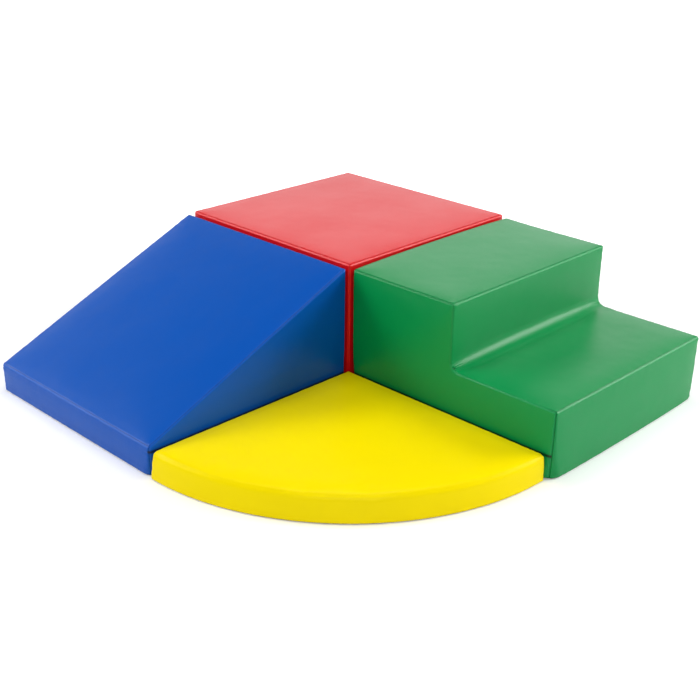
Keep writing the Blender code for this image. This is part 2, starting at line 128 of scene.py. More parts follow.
def whole(*middles):
    """Every cell of the lattice is filled."""
    return np.ones(middles[0].shape, bool)


@dataclass
class Form:
    """The shape of one block: a lattice of cells, how it is placed, rolled and bowed, the edges where
    its panels meet, the lines where the stitching sinks in, how far each side may swell, and where the
    zip lies, as its side, its middle along and up that side, and its length. Sides count -X, +X, -Y,
    +Y, -Z, +Z from 0, and -1 is none. Some have a place where the cover is drawn to an even swell, a
    place where the swell of two sides blends, a side that stands against the mat, or a curved side."""

    stops: list
    place: Callable
    rolls: Callable
    bow: Callable
    seams: list
    sunk: list
    gives: tuple
    zip_side: int
    zip_middle: tuple
    zip_length: float = zip_length
    filled: Callable = whole
    drawn: Callable = None
    blend: Callable = None
    mat_side: int = -1
    curved: bool = False
    groove: float = groove_depth

    def zip_axis(self):
        """The axis that the zip runs along."""
        return 1 if self.zip_side < 2 else 0

    def from_zip(self, points):
        """How far points lie past the zip's ends, and how far above its middle."""
        along = np.abs(points[:, self.zip_axis()] - self.zip_middle[0])
        return along - self.zip_length / 2, points[:, 2] - self.zip_middle[1]

    def give(self, points, side_of):
        """How far the cover may swell at each point."""
        give = np.array(self.gives)[side_of]
        if self.blend:
            give = self.blend(give, points, side_of)
        above_mat = np.clip((points[:, 2] - mat_side_height) / mat_side_reach, 0, 1)
        return np.where(side_of == self.mat_side, give * above_mat, give)

    def placed_lines(self, lines, curved):
        """Lattice polylines in the world, cut short where they have to follow a curved side."""
        placed = []
        for line in lines:
            line = np.array(line, float)
            if curved:
                cuts = [np.linspace(a, b, curve_cuts, endpoint=False) for a, b in zip(line, line[1:])]
                line = np.concatenate([*cuts, line[-1:]])
            placed.append(self.place(line))
        return placed


def spaced(stops, cuts, rings, pitch):
    """Places along one axis: close together beside each seam or cut, and evenly apart between."""
    marks = sorted([(stop, rings) for stop in stops] + [(cut, slot_rings) for cut in cuts])
    places = [marks[0][0]]
    for (low, low_rings), (high, high_rings) in zip(marks, marks[1:]):
        room = ring_share * (high - low)
        after, before = ([ring for ring in near if ring < room] for near in (low_rings, high_rings))
        first, last = low + after[-1], high - before[-1]
        count = max(1, math.ceil((last - first) / pitch))
        places += [low + ring for ring in after[1:]]
        places += list(np.linspace(first, last, count + 1))[1:]
        places += [high - ring for ring in before[-2::-1]]
    return np.array(places)


def zip_cuts(form):
    """The lattice places of the edges of a zip's slot, for each axis."""
    cuts = [[], [], []]
    along, up = form.zip_middle
    reach = form.zip_length / 2 + slot_margin
    cuts[form.zip_axis()] = [along - reach, along + reach]
    cuts[2] = [up - slot_half, up + slot_half]
    return cuts


def slot_recess(form, points, side_of):
    """How far the cover lies back at a zip's slot, with a turned lip round it."""
    past_end, up = form.from_zip(points)
    past = np.maximum(past_end - slot_margin, np.abs(up) - slot_half)
    depth = np.where(past < -1e-6, slot_depth, -slot_lip * np.exp(-((past / slot_lip_reach) ** 2)))
    return np.where(side_of == form.zip_side, depth, 0)


def zip_calm(form, points, side_of):
    """How freely a side may swell: hardly at all beside its zip, which holds it flat."""
    past_end, up = form.from_zip(points)
    near = np.exp(-((up / calm_height) ** 2) - (np.maximum(past_end, 0) / calm_past) ** 2)
    return 1 - calm_share * near * (side_of == form.zip_side)


def lattice_skin(axes, filled):
    """The outside of a lattice of cells: its points, its quads, and the way each quad faces."""
    middles = np.meshgrid(*[(axis[1:] + axis[:-1]) / 2 for axis in axes], indexing="ij")
    cells = np.pad(filled(*middles), 1)
    shape = tuple(len(axis) for axis in axes)
    quads, facing = [], []
    for axis in range(3):
        second, third = (axis + 1) % 3, (axis + 2) % 3
        for high in (0, 1):
            beyond = np.roll(cells, -1 if high else 1, axis=axis)
            base = np.argwhere(cells & ~beyond) - 1
            base[:, axis] += high
            ring = []
            for along, across in ((0, 0), (1, 0), (1, 1), (0, 1)):
                corner = base.copy()
                corner[:, second] += along
                corner[:, third] += across
                ring.append(np.ravel_multi_index(corner.T, shape))
            quads.append(np.stack(ring if high else ring[::-1], 1))
            facing.append(np.full(len(base), 2 * axis + high))
    used, quads = np.unique(np.concatenate(quads), return_inverse=True)
    index = np.array(np.unravel_index(used, shape))
    points = np.stack([axes[k][index[k]] for k in range(3)], 1)
    return points, quads.reshape(-1, 4), np.concatenate(facing)


def lengths(vectors):
    """The length of each vector, never quite 0."""
    return np.maximum(np.linalg.norm(vectors, axis=1), tiny)


def box_excess(points, low, high, radii):
    """How far each point lies into the roll of each side: 0 inside, -1 or 1 on the side itself."""
    under = np.clip(1 - (points - low) / radii, 0, 1)
    over = np.clip(1 - (high - points) / radii, 0, 1)
    return over - under


def roll_move(excess, radii):
    """How far points move to lie on rolls of these radii."""
    return excess * radii * (1 / np.maximum(1, lengths(excess))[:, None] - 1)


def rolled(form, points):
    """Lattice points with every convex edge rolled over, then placed in the world and bowed."""
    return form.place(points + form.rolls(points)) + form.bow(points)


def pulled_corners(points, width, depth, height, foot):
    """Draws the upright edges in, more and more towards the floor, where the base cloth holds them."""
    radii = pull_top + (foot - pull_top) * np.exp(-height / pull_height)
    spread = np.stack([radii, radii], 1)
    excess = box_excess(points[:, :2], np.zeros(2), np.array((width, depth)), spread)
    most = np.abs(excess).max(1)[:, None]
    pull = excess * spread * (most / lengths(excess)[:, None] - (most > 0))
    return np.column_stack([pull, np.zeros(len(points))])


def block_rolls(points, high, radii, height, foot):
    """A box with its edges rolled over and its upright edges drawn in."""
    pulled = pulled_corners(points, high[0], high[1], height, foot)
    return roll_move(box_excess(points, 0, high, radii), radii) + pulled


def arched(places, length):
    """A full arch over a side: 0 at its ends and 1 in its middle."""
    along = np.clip(places / length, 0, 1)
    return (4 * along * (1 - along)) ** arch_fullness


def bowed(points, axis, into, length, top, amount):
    """A free side bulging out at its foot, where the foam spreads under its own weight."""
    swell = arched(points[:, 1 - axis], length) * np.exp(-into / bow_depth)
    bow = np.zeros_like(points)
    bow[:, axis] = amount * swell * np.clip(1 - points[:, 2] / top, 0, 1) ** bow_taper
    return bow


def nearest_on_lines(points, lines):
    """For each point, its distance to the nearest of some polylines, and the nearest place on them."""
    best = np.full(len(points), np.inf)
    foot = np.zeros_like(points)
    for line in lines:
        for start, end in zip(line, line[1:]):
            run = end - start
            share = np.clip((points - start) @ run / max(run @ run, 1e-12), 0, 1)
            place = start + share[:, None] * run
            distance = np.linalg.norm(points - place, axis=1)
            closer = distance < best
            best[closer] = distance[closer]
            foot[closer] = place[closer]
    return best, foot


def smooth_noise(points, pitch, seed):
    """Even noise between about -1 and 1 at each point."""
    shift = Vector([seed * step for step in noise_steps])
    return np.array([noise.noise(Vector(p) / pitch + shift) for p in points]) * noise_gain


def linked(name, data):
    """A new object at the origin, in the scene."""
    made = bpy.data.objects.new(name, data)
    bpy.context.scene.collection.objects.link(made)
    return made


def mesh_object(name, points, quads):
    """A smooth object at the origin with its place in its mesh."""
    mesh = bpy.data.meshes.new(name)
    mesh.from_pydata(points.tolist(), [], quads.tolist())
    mesh.update()
    mesh.shade_smooth()
    return linked(name, mesh)


def normals_of(mesh):
    """The smooth normal at each point of a mesh."""
    values = np.empty(len(mesh.vertices) * 3, np.float32)
    mesh.vertex_normals.foreach_get("vector", values)
    return values.reshape(-1, 3).astype(float)


def swollen(form):
    """Swells a coarse cloth cover from inside, held at its seams, and returns its places and its rise."""
    axes = [spaced(stops, [], [0], cloth_pitch) for stops in form.stops]
    points, quads, _ = lattice_skin(axes, form.filled)
    sharp, rest = form.place(points), rolled(form, points)
    sewn, _ = nearest_on_lines(sharp, form.placed_lines(form.seams, form.curved))
    cloth = mesh_object("cloth", rest, quads)
    outward = normals_of(cloth.data)
    hold = cloth.vertex_groups.new(name="hold")
    for i, distance in enumerate(sewn):
        hold.add([i], face_hold + (1 - face_hold) * math.exp(-distance / seam_hold_reach), "REPLACE")
    swell = cloth.modifiers.new("swell", "CLOTH")
    for name, value in cloth_settings.items():
        setattr(swell.settings, name, value)
    swell.settings.effector_weights.gravity = 0
    swell.point_cache.frame_end = cloth_frames
    for step in range(1, cloth_frames + 1):
        bpy.context.scene.frame_set(step)
    graph = bpy.context.evaluated_depsgraph_get()
    moved = np.empty(len(points) * 3, np.float32)
    cloth.evaluated_get(graph).data.vertices.foreach_get("co", moved)
    rise = ((moved.reshape(-1, 3) - rest) * outward).sum(1)
    bpy.data.objects.remove(cloth)
    bpy.context.scene.frame_set(1)
    return sharp, quads, rise


def even_rise(to_seam):
    """A plain swell that grows away from the seams."""
    return even_swell * (1 - np.exp(-to_seam / even_reach))


def carried_rise(form, sharp):
    """The rise of the swollen cloth at each point of the fine skin."""
    places, quads, rise = swollen(form)
    tree = BVHTree.FromPolygons(places.tolist(), quads.tolist())
    carried = np.zeros(len(sharp))
    for i, point in enumerate(sharp):
        where, _, face, _ = tree.find_nearest(Vector(point))
        corners = quads[face]
        weights = poly_3d_calc([Vector(places[c]) for c in corners], where)
        carried[i] = sum(w * rise[c] for w, c in zip(weights, corners))
    return carried


def sewn_skin(form, seed):
    """The finished outside of a cover: swollen, waved, puckered along its seams and sunk into them."""
    axes = [spaced(stops, cuts, seam_rings, skin_pitch) for stops, cuts in zip(form.stops, zip_cuts(form))]
    points, quads, facing = lattice_skin(axes, form.filled)
    sharp, smooth = form.place(points), rolled(form, points)
    to_seam, foot = nearest_on_lines(sharp, form.placed_lines(form.seams, form.curved))
    to_sunk, _ = nearest_on_lines(sharp, form.placed_lines(form.sunk, form.curved))
    ends = np.array([line[k] for line in form.placed_lines(form.seams, False) for k in (0, -1)])
    to_corner = np.sqrt(((sharp[:, None] - ends[None]) ** 2).sum(2).min(1))
    side_of = np.zeros(len(points), int)
    side_of[quads.ravel()] = np.repeat(facing, 4)
    give = form.give(sharp, side_of) * zip_calm(form, points, side_of)
    skin = mesh_object("skin", smooth, quads)
    outward = normals_of(skin.data)
    bpy.data.objects.remove(skin)
    rise = carried_rise(form, sharp)
    if form.drawn:
        rise += (even_rise(to_seam) - rise) * form.drawn(sharp)
    plump = 1 - np.exp(-to_seam / pillow_reach)
    move = give * ((1 - pillow_share) * np.tanh(rise / np.maximum(give, 1e-6)) + pillow_share * plump)
    free = np.clip(give / held_give, 0, 1)
    off_seam = 1 - np.exp(-to_seam / wave_start)
    move += free * off_seam * wave_depth * smooth_noise(sharp, wave_pitch, seed)
    move += free * ripple_depth * smooth_noise(sharp, ripple_pitch, seed + 1) * off_seam
    near = np.exp(-to_seam / pucker_reach) * (1 - np.exp(-to_seam / pucker_start))
    near *= 1 + corner_pucker * np.exp(-to_corner / corner_pucker_reach)
    move += free * pucker_depth * near * smooth_noise(foot, pucker_pitch, seed + 2)
    move -= form.groove * np.exp(-((to_sunk / groove_width) ** 2))
    move -= slot_recess(form, points, side_of)
    shaped = smooth + outward * move[:, None]
    shaped[:, 2] = np.maximum(shaped[:, 2], 0)
    return shaped, quads, facing, to_seam, to_sunk


def box_lines(high, inset=0):
    """The twelve edges of a box that starts at the origin, those of its top drawn in by an inset."""
    rims = []
    for height, less in ((0, 0), (high[2], inset)):
        (west, south), (east, north) = (less, less), (high[0] - less, high[1] - less)
        rim = [(west, south), (east, south), (east, north), (west, north), (west, south)]
        rims.append([np.array((*corner, height)) for corner in rim])
    return rims + [[corner, corner + (0, 0, high[2])] for corner in rims[0][:4]]


def declared(piece, body, slot, *cad_nodes):
    """Tells what a piece rides on, and hides the solids it stands for. The slot, what it is made of, is not
    used.
    """
    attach(piece, body)
    if cad_nodes:
        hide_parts(*cad_nodes)
    return piece


def vinyl_cover(name, form, body, cad_nodes, slot, material, seed):
    """Makes a block's cover, and returns the points and the quads that its base cloth takes up."""
    points, quads, facing, to_seam, to_sunk = sewn_skin(form, seed)
    under = quads[facing == 4]
    base_points = points.copy()
    points[np.unique(under), 2] += base_thickness + base_clearance
    cover = mesh_object(name, points, quads)
    seam = cover.data.attributes.new("seam_distance", "FLOAT", "POINT")
    seam.data.foreach_set("value", to_sunk.astype(np.float32))
    cover.data.materials.append(material)
    declared(cover, body, slot, *cad_nodes)
    inside = under[(to_seam[under] > base_margin).all(1)]
    used, index = np.unique(inside, return_inverse=True)
    return base_points[used], index.reshape(-1, 4)


def fed(tree, node, inputs):
    """Gives a node its inputs: a socket is linked, anything else is set."""
    for name, value in inputs.items():
        if isinstance(value, bpy.types.NodeSocket):
            tree.links.new(value, node.inputs[name])
        else:
            node.inputs[name].default_value = value
    return node


def added(tree, kind, inputs=None, **settings):
    """A new node in a tree. Its settings come first, because they decide which inputs it has."""
    node = tree.nodes.new(kind)
    for name, value in settings.items():
        setattr(node, name, value)
    return fed(tree, node, inputs or {})


def sum_of(tree, operation, *values):
    """The result of one operation on numbers or sockets."""
    return added(tree, "ShaderNodeMath", dict(enumerate(values)), operation=operation).outputs[0]


def product(tree, first, second):
    """Two numbers or sockets multiplied."""
    return sum_of(tree, "MULTIPLY", first, second)


def ranged(tree, value, limits, results=(0, 1), kind="SMOOTHSTEP"):
    """A value carried from one range to another."""
    names = ("Value", "From Min", "From Max", "To Min", "To Max")
    inputs = dict(zip(names, (value, *limits, *results)))
    return added(tree, "ShaderNodeMapRange", inputs, interpolation_type=kind).outputs["Result"]


def mixed(tree, share, first, second):
    """One colour passing into another by a share."""
    inputs = {"Factor": share, "A": first, "B": second}
    return added(tree, "ShaderNodeMix", inputs, data_type="RGBA").outputs["Result"]


def tinted(colour, times=1):
    """A colour with its brightness changed, for a socket."""
    return (*[c * times for c in colour], 1)


def noisy(tree, place, scale, detail, roughness=0.5):
    """The texture of soft noise at a place."""
    inputs = {"Vector": place, "Scale": scale, "Detail": detail, "Roughness": roughness}
    return added(tree, "ShaderNodeTexNoise", inputs).outputs


def bumped(tree, height, strength, distance):
    """The normal of a surface with this height on it."""
    inputs = {"Height": height, "Strength": strength, "Distance": distance}
    return added(tree, "ShaderNodeBump", inputs).outputs["Normal"]


def grouped(tree, group, **inputs):
    """What a shader group makes of its inputs, which are named with underscores for spaces."""
    named = {name.replace("_", " ").title(): value for name, value in inputs.items()}
    return added(tree, "ShaderNodeGroup", named, node_tree=group).outputs


def shader_group(name, places, numbers, results):
    """An empty shader group with places and numbers going in and numbers coming out."""
    tree = bpy.data.node_groups.new(name, "ShaderNodeTree")
    sockets = [(name, "INPUT", "NodeSocketVector") for name in places]
    sockets += [(name, "INPUT", "NodeSocketFloat") for name in numbers]
    sockets += [(name, "OUTPUT", "NodeSocketFloat") for name in results]
    for name, way, kind in sockets:
        tree.interface.new_socket(name, in_out=way, socket_type=kind)
    return tree, added(tree, "NodeGroupInput").outputs


def new_material(name):
    """A material with its tree, its shader and the place on the object."""
    material = bpy.data.materials.new(name)
    material.use_nodes = True
    tree = material.node_tree
    return material, tree, tree.nodes["Principled BSDF"], added(tree, "ShaderNodeTexCoord").outputs["Object"]


grain_cells = 750
grain_crease = 0.32
grain_wander_scale = 260
grain_wander = 0.0011
grain_pit_scale = 3200
grain_pit_share = 0.25
grain_strength = 0.35
grain_depth = 0.00012
patch_scale = 9
patch_roughness = 0.55
patch_shade = 0.93
smear_scale = 55
# How far from the sunk stitching the painted seam shade reaches, and how strongly it darkens.
seam_shade_reach = 0.0011
seam_shade_share = 0.7
rub_reach = (0.0015, 0.009)
rub_dulling = 0.08
vinyl_gloss = (0.285, 0.335)
# A painted dark line on a wall beside the mat, standing in for the shade in the gap between the mat and the
# wall: its height, half width, colour and breaks.
gap_shade_height = 0.0542
gap_shade_half_width = 0.0058
gap_shade_colour = (0.003, 0.003, 0.004)
gap_shade_break_scale = 60
gap_shade_break = (0.85, 1.0)


def grain_group():
    """Embossed leather grain: small cells with soft creases between, and finer pits in them."""
    tree, given = shader_group("Embossed Grain", ["Place"], ["Cells Per Metre", "Pit Share"], ["Height"])
    wander = noisy(tree, given["Place"], grain_wander_scale, 2)["Color"]
    pushed = {0: wander, 1: (grain_wander,) * 3, 2: given["Place"]}
    push = added(tree, "ShaderNodeVectorMath", pushed, operation="MULTIPLY_ADD").outputs[0]
    celled = {"Vector": push, "Scale": given["Cells Per Metre"]}
    cells = added(tree, "ShaderNodeTexVoronoi", celled, feature="DISTANCE_TO_EDGE").outputs["Distance"]
    soft = ranged(tree, cells, (0, grain_crease))
    pits = noisy(tree, given["Place"], grain_pit_scale, 1)["Fac"]
    height = sum_of(tree, "ADD", soft, product(tree, pits, given["Pit Share"]))
    added(tree, "NodeGroupOutput", {"Height": height})
    return tree


def handling_and_seam_shade_group():
    """What use leaves on a smooth skin, broad dull patches and faint smears, and a painted seam shade: a mask
    strongest at the sunk stitching, where shade falls in the seam grooves.
    """
    tree, given = shader_group("Handling Marks", ["Place"], ["Seam Distance"], ["Dull", "Seam Shade", "Rub"])
    patches = noisy(tree, given["Place"], patch_scale, 4, patch_roughness)["Fac"]
    shade = ranged(tree, given["Seam Distance"], (0, seam_shade_reach), (1, 0))
    edge = ranged(tree, given["Seam Distance"], rub_reach, (1, 0))
    rub = product(tree, edge, noisy(tree, given["Place"], smear_scale, 5)["Fac"])
    added(tree, "NodeGroupOutput", {"Dull": patches, "Seam Shade": shade, "Rub": rub})
    return tree


def painted_gap_shade_group():
    """A painted dark line along a wall at the height of a lower block's top edge, standing in for the shade in
    the gap between them, a little broken along its length.
    """
    tree, given = shader_group("Rub Line", ["Place", "Across"], ["Wall", "Height", "Half Width"], ["Mark"])
    up = added(tree, "ShaderNodeSeparateXYZ", {0: given["Place"]}).outputs["Z"]
    away = sum_of(tree, "ABSOLUTE", sum_of(tree, "SUBTRACT", up, given["Height"]))
    fade = ranged(tree, away, (0, given["Half Width"]), (1, 0))
    crossed = {0: given["Place"], 1: given["Across"]}
    across = added(tree, "ShaderNodeVectorMath", crossed, operation="DOT_PRODUCT").outputs["Value"]
    on_wall = sum_of(tree, "LESS_THAN", across, given["Wall"])
    uneven = noisy(tree, given["Place"], gap_shade_break_scale, 2)["Fac"]
    strength = ranged(tree, uneven, (0.3, 0.6), gap_shade_break, "LINEAR")
    mark = product(tree, product(tree, fade, on_wall), strength)
    added(tree, "NodeGroupOutput", {"Mark": mark})
    return tree


grain = grain_group()
handling_and_seam_shade = handling_and_seam_shade_group()
painted_gap_shade = painted_gap_shade_group()


def vinyl(name, colour, seam_shade_colour, ior, shaded_wall=None):
    """Soft coated vinyl: satin, with an embossed grain, slightly uneven gloss and a painted shade that darkens
    its seams. A wall that stands beside a lower block gets a painted dark line, standing in for the shade in
    the gap between them, and is given as the way across it and how far it reaches."""
    material, tree, shader, place = new_material(name)
    seam = added(tree, "ShaderNodeAttribute", attribute_name="seam_distance").outputs["Fac"]
    emboss = grouped(tree, grain, place=place, cells_per_metre=grain_cells, pit_share=grain_pit_share)
    marks = grouped(tree, handling_and_seam_shade, place=place, seam_distance=seam)
    patchy = mixed(tree, marks["Dull"], tinted(colour), tinted(colour, patch_shade))
    # Painted shade: within about a millimetre of the sunk stitching the skin darkens towards the seam shade
    # colour, standing in for the shade in the seam grooves.
    seam_dark = product(tree, marks["Seam Shade"], seam_shade_share)
    skin = mixed(tree, seam_dark, patchy, tinted(seam_shade_colour))
    # Painted shade: a near-black line on the wall at the mat's top edge, where the gap between them lies in
    # shade.
    if shaded_wall:
        across, wall = shaded_wall
        sizes = {"wall": wall, "height": gap_shade_height, "half_width": gap_shade_half_width}
        line = grouped(tree, painted_gap_shade, place=place, across=across, **sizes)
        skin = mixed(tree, line["Mark"], skin, tinted(gap_shade_colour))
    gloss = ranged(tree, marks["Dull"], (0.3, 0.7), vinyl_gloss, "LINEAR")
    dulled = sum_of(tree, "MULTIPLY_ADD", marks["Rub"], rub_dulling, gloss)
    bump = bumped(tree, emboss["Height"], grain_strength, grain_depth)
    fed(tree, shader, {"Base Color": skin, "Roughness": dulled, "Normal": bump, "IOR": ior})
    return material


def corner_place(points):
    """Moves the lattice to the block's place."""
    return points + corner_low


def corner_rolls(points):
    """Every edge rolls over alike, and the upright ones are drawn in at the foot."""
    return block_rolls(points, corner_high, edge_roll, points[:, 2], corner_foot_pull)


def corner_bow(points):
    """The free end bulges at its foot."""
    return bowed(points, 0, block_side - points[:, 0], block_side, corner_height, corner_bow_out)


corner_form = Form(
    stops=[[0, block_side], [0, block_side], [0, corner_height]],
    place=corner_place,
    rolls=corner_rolls,
    bow=corner_bow,
    seams=box_lines(corner_high),
    sunk=box_lines(corner_high, seam_inset),
    gives=(mating_rise, wall_give, mating_rise, wall_give, 0, corner_top_give),
    zip_side=3,
    zip_middle=(block_side / 2, zip_height),
)
corner_base = vinyl_cover(
    "corner_cover",
    corner_form,
    "corner_block",
    [
        "corner_top_panel",
        "corner_back_panel",
        "corner_end_panel",
        "corner_panel_to_ramp",
        "corner_panel_to_steps",
        "corner_foam_core",
    ],
    "red_vinyl",
    vinyl("red_vinyl", (0.715, 0.003, 0.007), (0.24, 0.001, 0.002), 1.44),
    seed=11,
)

# Base cloths
# Under each block the cover is closed by a black non-slip cloth, sewn in all round its edge.
# It is a plain weave with rubbery dots on it.
weave_distortion = 0.6
weave_shades = (0.6, 1.3)
spot_rise = 2
cloth_relief = 0.8


def weave_group():
    """A plain weave: threads that pass over and under each other, in any of the three directions."""
    tree, given = shader_group("Plain Weave", ["Place"], ["Threads"], ["Height"])
    waved = {"Vector": given["Place"], "Scale": given["Threads"], "Distortion": weave_distortion}
    waves = [added(tree, "ShaderNodeTexWave", waved, bands_direction=way).outputs["Fac"] for way in "XYZ"]
    across = product(tree, waves[0], waves[1])
    added(tree, "NodeGroupOutput", {"Height": sum_of(tree, "MULTIPLY_ADD", waves[2], 0.5, across)})
    return tree


def spotted_group():
    """Small raised spots in even rows or scattered, as rubber dots, hooks or loops lie on a cloth."""
    numbers = ["Spots Per Metre", "Scatter", "Spot Size"]
    tree, given = shader_group("Raised Spots", ["Place"], numbers, ["Spot"])
    celled = {"Vector": given["Place"], "Scale": given["Spots Per Metre"], "Randomness": given["Scatter"]}
    cells = added(tree, "ShaderNodeTexVoronoi", celled).outputs["Distance"]
    dome = ranged(tree, cells, (0, given["Spot Size"]), (1, 0), "SMOOTHERSTEP")
    added(tree, "NodeGroupOutput", {"Spot": dome})
    return tree


weave = weave_group()
spots = spotted_group()


def cloth_material(name, colour, spot_colour, roughness, threads, spacing, scatter, size, depth):
    """A woven cloth with raised spots on it, each in its own colour."""
    material, tree, shader, place = new_material(name)
    woven = grouped(tree, weave, place=place, threads=threads)["Height"]
    sizes = {"spots_per_metre": spacing, "scatter": scatter, "spot_size": size}
    spot = grouped(tree, spots, place=place, **sizes)["Spot"]
    tint = mixed(tree, woven, *[tinted(colour, shade) for shade in weave_shades])
    skin = mixed(tree, spot, tint, tinted(spot_colour))
    height = sum_of(tree, "MULTIPLY_ADD", spot, spot_rise, woven)
    bump = bumped(tree, height, cloth_relief, depth)
    fed(tree, shader, {"Base Color": skin, "Roughness": roughness, "Normal": bump})
    return material


base_cloth = cloth_material(
    "base_cloth", (0.022, 0.022, 0.024), (0.055, 0.055, 0.058), 0.85, 420, 160, 0.0, 0.30, 0.0002
)


def base_sheet(name, points, quads, body, cad_node):
    """The cloth that closes a block underneath."""
    sheet = mesh_object(name, points, quads)
    wall = sheet.modifiers.new("wall", "SOLIDIFY")
    wall.thickness = base_thickness
    wall.offset = -1
    sheet.data.materials.append(base_cloth)
    declared(sheet, body, "base_cloth", cad_node)


base_sheet("corner_base", *corner_base, "corner_block", "corner_bottom_panel")

# Ramp cover
# A wedge of foam in blue vinyl, with a low upright lip at its foot.
ramp_width = 0.539
ramp_height = 0.298
lip_height = 0.065
level_height = 0.0445
ramp_low = np.array((-0.539825, 0.004475, 0))
ramp_high = np.array((block_side, ramp_width, ramp_height))
ramp_slope_give = 0.0055
ramp_foot_pulls = (0.020, 0.006)
ramp_pull_haste = 1.5
ramp_bow_out = 0.0005


def ramp_squeeze(points):
    """How much closer together the lattice lies under the slope than at the tall end, above the
    level part."""
    top = lip_height + (ramp_height - lip_height) * points[:, 0] / block_side
    return (ramp_height - level_height) / (top - level_height)


def ramp_place(points):
    """Presses a box lattice down under the slope."""
    placed = points.copy()
    above = np.maximum(points[:, 2] - level_height, 0)
    placed[:, 2] += above / ramp_squeeze(points) - above
    return placed + ramp_low


def ramp_rolls(points):
    """The rolls along the slope are stretched, since the lattice is squeezed there afterwards."""
    radii = np.full(points.shape, edge_roll)
    radii[:, 2] *= np.where(points[:, 2] < level_height, 1, ramp_squeeze(points))
    foot = np.where(points[:, 1] < ramp_width / 2, *ramp_foot_pulls)
    return block_rolls(points, ramp_high, radii, ramp_place(points)[:, 2] * ramp_pull_haste, foot)


def ramp_bow(points):
    """The lip bulges at its foot."""
    return bowed(points, 0, points[:, 0], ramp_width, ramp_height, -ramp_bow_out)


ramp_form = Form(
    stops=[[0, block_side], [0, ramp_width], [0, ramp_height]],
    place=ramp_place,
    rolls=ramp_rolls,
    bow=ramp_bow,
    seams=box_lines(ramp_high),
    sunk=box_lines(ramp_high, seam_inset),
    gives=(wall_give, mating_rise, wall_give, wall_give, 0, ramp_slope_give),
    zip_side=3,
    zip_middle=(block_side / 2, zip_height),
    mat_side=2,
)
ramp_base = vinyl_cover(
    "ramp_cover",
    ramp_form,
    "ramp",
    [
        "ramp_slope_panel",
        "ramp_lip_panel",
        "ramp_mat_side_panel",
        "ramp_outer_side_panel",
        "ramp_back_panel",
        "ramp_foam_core",
    ],
    "blue_vinyl",
    # Its wall beside the mat gets the painted gap shade.
    vinyl("blue_vinyl", (0.0, 0.084, 0.443), (0.0, 0.026, 0.15), 1.29, ((0, 1, 0), 0.009)),
    seed=23,
)
base_sheet("ramp_base", *ramp_base, "ramp", "ramp_bottom_panel")

# Steps cover
# Two slabs of foam in one cover of green vinyl. A single panel covers the riser and the lower
# tread, so there is a soft fold and no seam between them.
steps_run = 0.541
steps_height = 0.295
step_height = 0.151
riser_place = steps_run - 0.279
steps_low = np.array((0.003475, -0.546825, 0))
riser_give = 0.0035
tread_give = 0.0060
fold_radius = 0.020
fold_fullness = 0.013
fold_reach = 0.040
drawn_reach = 0.045
tuck_count = 9
tuck_depth = 0.0028
tuck_reach = 0.009
tuck_start = 0.002
steps_foot_pulls = (0.034, 0.012)
steps_bow_out = 0.005
top_lift = 0.005
top_lean = 0.0018
top_lift_reach = 0.07


def steps_filled(x, y, z):
    """The lower slab lies under the whole, the upper one behind the riser."""
    return (y > riser_place) | (z < step_height)


def steps_place(points):
    """Draws the inner corner of the two slabs out into a fold, fullest between its ends, less and
    less with depth."""
    foot = np.stack([np.minimum(points[:, 1], riser_place), np.maximum(points[:, 2], step_height)], 1)
    depth = points[:, 1] - foot[:, 0] + foot[:, 1] - points[:, 2]
    radius = fold_radius + fold_fullness * arched(points[:, 0], block_side)
    spoke = foot - np.stack([riser_place - radius, step_height + radius], 1)
    folded = (spoke[:, 0] > 0) & (spoke[:, 1] < 0)
    pull = np.where(folded, radius / lengths(spoke) - 1, 0) * np.exp(-np.abs(depth) / fold_reach)
    placed = points.copy()
    placed[:, 1:] += spoke * pull[:, None]
    return placed + steps_low


def steps_rolls(points):
    """Each slab rolls over its own edges, and what lies inside the fold makes way evenly."""
    low, high = np.zeros_like(points), np.tile((block_side, steps_run, steps_height), (len(points), 1))
    upper = points[:, 2] > step_height + 1e-7
    outer = points[:, 1] < riser_place - 1e-7
    low[upper, 1] = riser_place
    high[outer, 2] = step_height
    excess = box_excess(points, low, high, edge_roll)
    away = np.stack([points[:, 1] - riser_place, step_height - points[:, 2]], 1)
    distance = np.linalg.norm(away, axis=1)
    near = ~upper & ~outer & (distance < edge_roll)
    share = np.clip(1 - distance / edge_roll, 0, 1)
    unit = np.where(distance[:, None] > 1e-7, away / lengths(away)[:, None], diagonal)
    excess[near, 1] = -(unit[:, 0] * share)[near]
    excess[near, 2] = (unit[:, 1] * share)[near]
    foot = np.where(points[:, 0] < block_side / 2, *steps_foot_pulls)
    pulled = pulled_corners(points, block_side, steps_run, points[:, 2], foot)
    return roll_move(excess, edge_roll) + pulled


def steps_bow(points):
    """The front bulges at its foot, the top's edge at the corner block rises between its ends, and
    small tucks spread from the ends of the fold."""
    bow = bowed(points, 1, points[:, 1], block_side, step_height, -steps_bow_out)
    along = np.clip(points[:, 0] / block_side, 0, 1)
    lift = top_lift * arched(points[:, 0], block_side) + top_lean * along * along
    lift *= np.exp((points[:, 1] - steps_run) / top_lift_reach)
    bow[:, 2] = lift * np.clip((points[:, 2] - step_height) / (steps_height - step_height), 0, 1)
    around = points[:, 1] - riser_place + points[:, 2] - step_height
    for end in (0, block_side):
        across = np.abs(points[:, 0] - end)
        tuck = np.cos(tuck_count * np.arctan2(around, across)) * np.exp(-np.hypot(across, around) / tuck_reach)
        tuck *= tuck_depth * (1 - np.exp(-across / tuck_start))
        bow[:, 1:] += tuck[:, None] * np.array((-diagonal, diagonal))
    return bow


